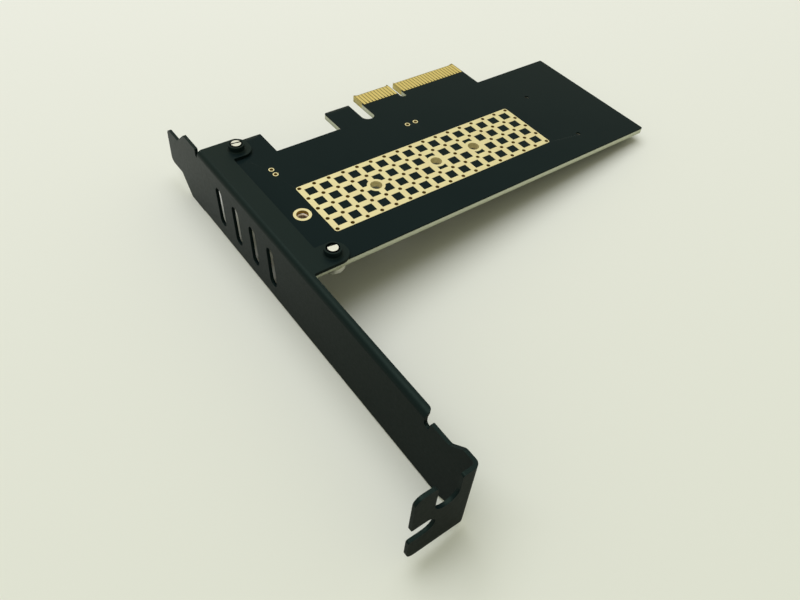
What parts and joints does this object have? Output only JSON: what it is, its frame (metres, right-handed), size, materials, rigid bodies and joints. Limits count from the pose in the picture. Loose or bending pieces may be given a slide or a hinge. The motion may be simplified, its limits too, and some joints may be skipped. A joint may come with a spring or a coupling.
{
  "type": "M.2 drive adapter card",
  "caption": "Flat expansion card with a full-height slot bracket, gold contact edge, gold thermal grid and a drive socket on its far side.",
  "frame": {"origin": "centre of the key notch, on the contact edge, half way through the board", "axes": "+X along the card away from the slot bracket, +Y out of the contact edge into the slot, +Z out of the solder side; the drive's side faces -Z"},
  "size_m": [0.1182, 0.1204, 0.0225],
  "materials": {
    "laminate": "satin black solder mask on glass laminate",
    "gold_plating": "thin gold over nickel",
    "black_steel": "black powder coat on folded steel",
    "screw_steel": "bright zinc",
    "socket_plastic": "black moulded",
    "pin_gold": "gold flash",
    "tinned_metal": "dull tin",
    "standoff_nickel": "nickel plated",
    "capacitor_ceramic": "tan ceramic",
    "resistor_ceramic": "black glaze on ceramic",
    "lamp_white": "white laminate",
    "lamp_lens": "clear resin"
  },
  "bodies": {
    "root": {"circuit_board": "laminate", "thermal_grid": "gold_plating", "edge_contacts_solder_side": "gold_plating", "edge_contacts_component_side": "gold_plating", "standoff_hole_plating": "gold_plating", "lamp_header_holes": "gold_plating", "service_header_holes": "gold_plating", "slot_bracket": "black_steel", "front_bracket_screw": "screw_steel", "rear_bracket_screw": "screw_steel", "socket_housing": "socket_plastic", "socket_upper_pins": "pin_gold", "socket_lower_pins": "pin_gold", "socket_front_hold_down": "tinned_metal", "socket_rear_hold_down": "tinned_metal", "drive_standoff": "standoff_nickel", "capacitors": "capacitor_ceramic", "capacitor_ends": "tinned_metal", "lamp_resistor": "resistor_ceramic", "lamp_resistor_ends": "tinned_metal", "lamp_base": "lamp_white", "lamp_ends": "tinned_metal", "lamp_lens": "lamp_lens"}
  },
  "joints": []
}
